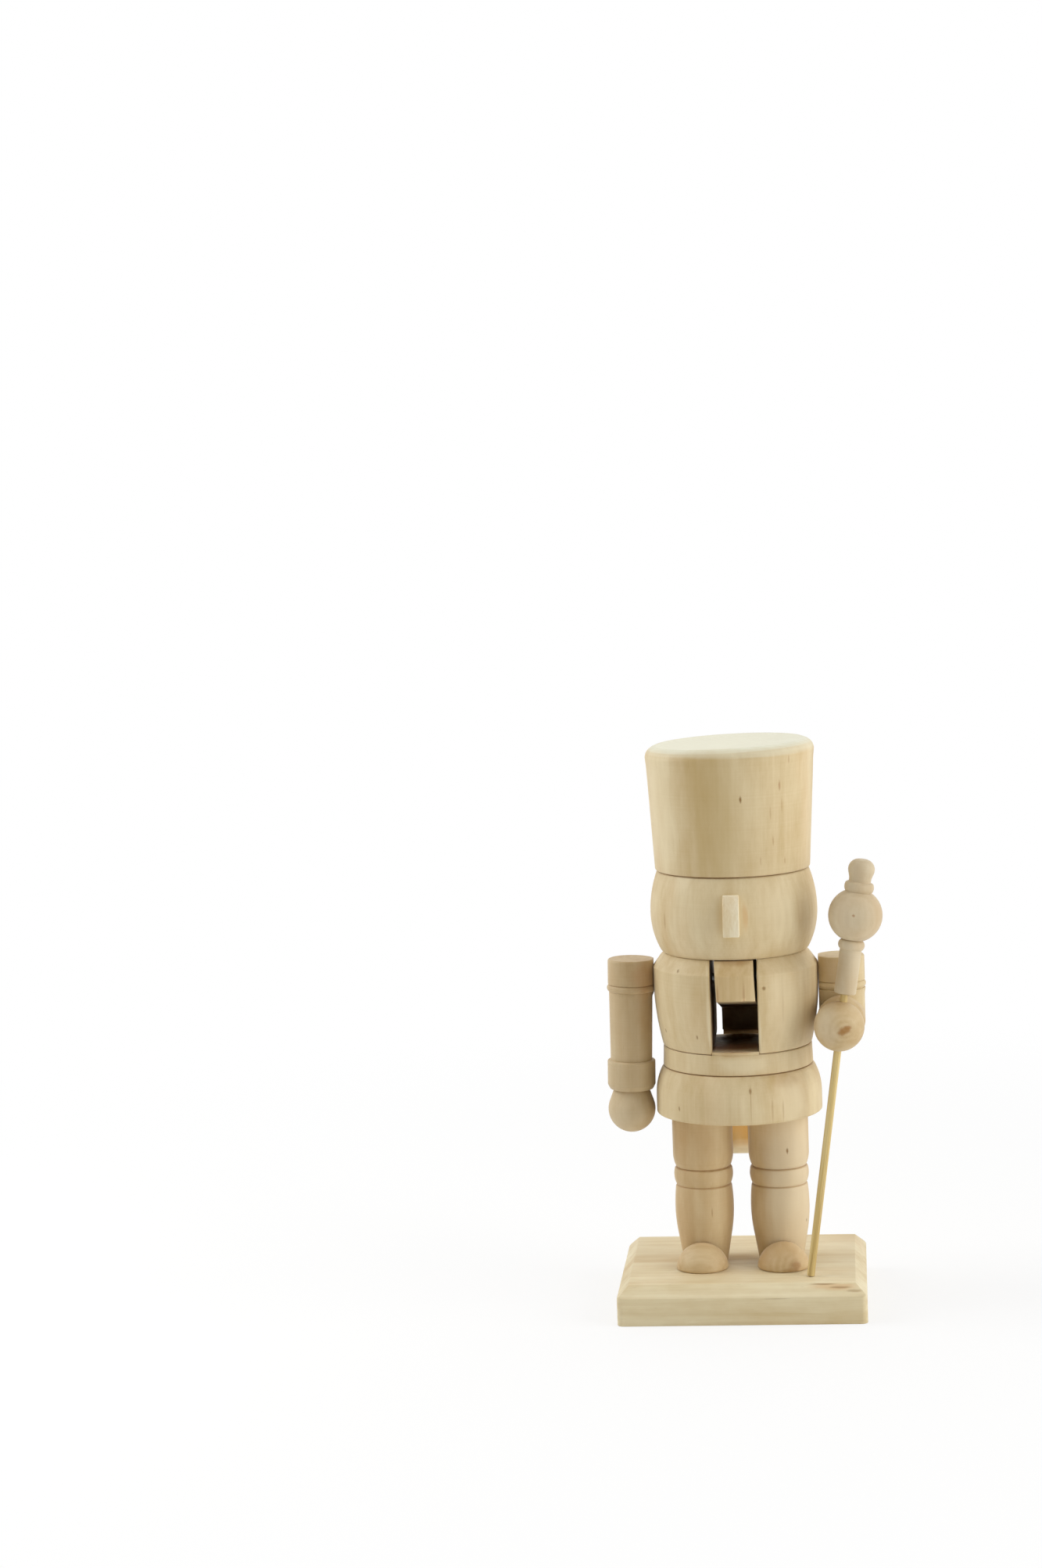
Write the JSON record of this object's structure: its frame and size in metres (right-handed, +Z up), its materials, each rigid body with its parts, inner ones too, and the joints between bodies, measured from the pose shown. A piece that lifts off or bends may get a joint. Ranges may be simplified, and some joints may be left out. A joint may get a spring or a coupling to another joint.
{
  "type": "nutcracker figure",
  "caption": "Unpainted turned-wood nutcracker soldier on a chamfered plinth, with a lever-worked jaw in a slotted chest, a tall flared hat and a leaning staff.",
  "frame": {"origin": "middle of the plinth's underside, under the figure's turning axis", "axes": "+Z up along the turning axis of torso, head and hat, -Y the way the figure faces, +X the figure's left"},
  "size_m": [0.0882, 0.069, 0.1779],
  "materials": {
    "turned_wood": "bare sanded pale hardwood, fine pores and lathe lines",
    "lever_wood": "bare sawn pale hardwood",
    "nose_wood": "bare split stick, fibrous",
    "bamboo": "bare bamboo skewer",
    "peg_wood": "bare dowel",
    "steel": "plain zinc-plated steel"
  },
  "bodies": {
    "figure": {"plinth": "turned_wood", "left_leg_screw": "steel", "right_leg_screw": "steel", "left_leg": "turned_wood", "right_leg": "turned_wood", "left_shoe": "turned_wood", "right_shoe": "turned_wood", "left_leg_peg": "peg_wood", "right_leg_peg": "peg_wood", "skirt": "turned_wood", "waist_peg": "peg_wood", "torso": "turned_wood", "jaw_pin": "steel", "left_neck_peg": "peg_wood", "right_neck_peg": "peg_wood", "head": "turned_wood", "nose": "nose_wood", "hat_peg": "peg_wood", "hat": "turned_wood", "right_arm": "turned_wood", "right_shoulder_peg": "peg_wood", "left_upper_arm": "turned_wood", "left_shoulder_peg": "peg_wood", "elbow_peg": "peg_wood", "left_forearm": "turned_wood", "staff_rod": "bamboo", "staff_head": "turned_wood"},
    "jaw": {"jaw_lever": "lever_wood"}
  },
  "joints": [
    {"name": "jaw_hinge", "type": "hinge", "parent": "figure", "child": "jaw", "pos_m": [0, -0.003, 0.10395], "axis": [1, 0, 0], "range_deg": [0, 25]}
  ]
}
